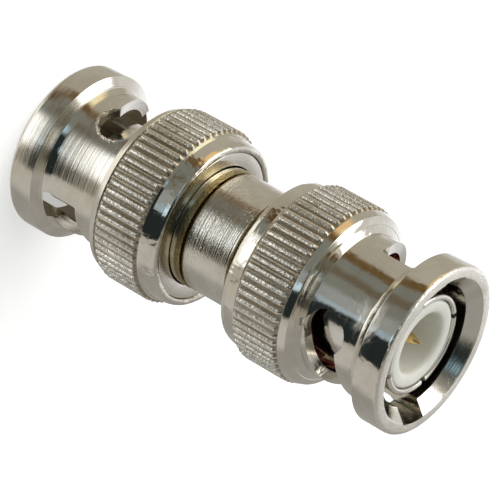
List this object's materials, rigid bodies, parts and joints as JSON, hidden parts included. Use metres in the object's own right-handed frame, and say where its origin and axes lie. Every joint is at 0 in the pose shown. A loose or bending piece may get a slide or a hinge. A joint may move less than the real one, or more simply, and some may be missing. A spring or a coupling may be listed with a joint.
{
  "type": "coaxial connector adapter",
  "caption": "Short coaxial adapter with a bayonet plug at each end: knurled coupling nuts turn and pull on a common body round slotted outer contacts and centre pins.",
  "frame": {"origin": "centre of the footprint, on the surface the adapter stands on, which is the mouth rim of its lower nut", "axes": "+Z along the adapter's axis, from the lower plug to the upper plug"},
  "size_m": [0.0144, 0.0145, 0.0355],
  "materials": {
    "nickel_nut": "bright nickel plate with fine turning marks",
    "nickel_body": "nickel plate, turned",
    "contact_tube": "bright nickel plate over spring brass",
    "white_insulator": "satin white fluoropolymer",
    "gold_pin": "gold plate",
    "red_gasket": "dark red silicone rubber",
    "brass_washer": "plain brass",
    "spring_steel": "dark spring temper"
  },
  "bodies": {
    "adapter": {"neck_sleeve": "nickel_body", "upper_body": "nickel_body", "lower_body": "nickel_body", "upper_contact_tube": "contact_tube", "lower_contact_tube": "contact_tube", "upper_insulator": "white_insulator", "lower_insulator": "white_insulator", "centre_contact": "gold_pin", "upper_gasket": "red_gasket", "lower_gasket": "red_gasket", "upper_wave_washer_a": "spring_steel", "upper_wave_washer_b": "spring_steel", "lower_wave_washer_a": "spring_steel", "lower_wave_washer_b": "spring_steel"},
    "upper_slip": {"upper_slip_washer": "brass_washer"},
    "lower_slip": {"lower_slip_washer": "brass_washer"},
    "upper_nut": {"upper_coupling_nut": "nickel_nut", "upper_retaining_washer": "nickel_body"},
    "lower_nut": {"lower_coupling_nut": "nickel_nut", "lower_retaining_washer": "nickel_body"}
  },
  "joints": [
    {"name": "upper_nut_pull", "type": "slide", "parent": "adapter", "child": "upper_slip", "axis": [0, 0, 1], "range_m": [0, 0.0005], "stiffness_N_per_m": 500, "springref_m": -0.003, "deforming": ["upper_wave_washer_a", "upper_wave_washer_b"]},
    {"name": "lower_nut_pull", "type": "slide", "parent": "adapter", "child": "lower_slip", "axis": [0, 0, -1], "range_m": [0, 0.0005], "stiffness_N_per_m": 500, "springref_m": -0.003, "deforming": ["lower_wave_washer_a", "lower_wave_washer_b"]},
    {"name": "upper_nut_turn", "type": "hinge", "parent": "upper_slip", "child": "upper_nut", "pos_m": [0, 0, 0.025], "axis": [0, 0, 1], "continuous": true},
    {"name": "lower_nut_turn", "type": "hinge", "parent": "lower_slip", "child": "lower_nut", "pos_m": [0, 0, 0.0105], "axis": [0, 0, -1], "continuous": true}
  ]
}
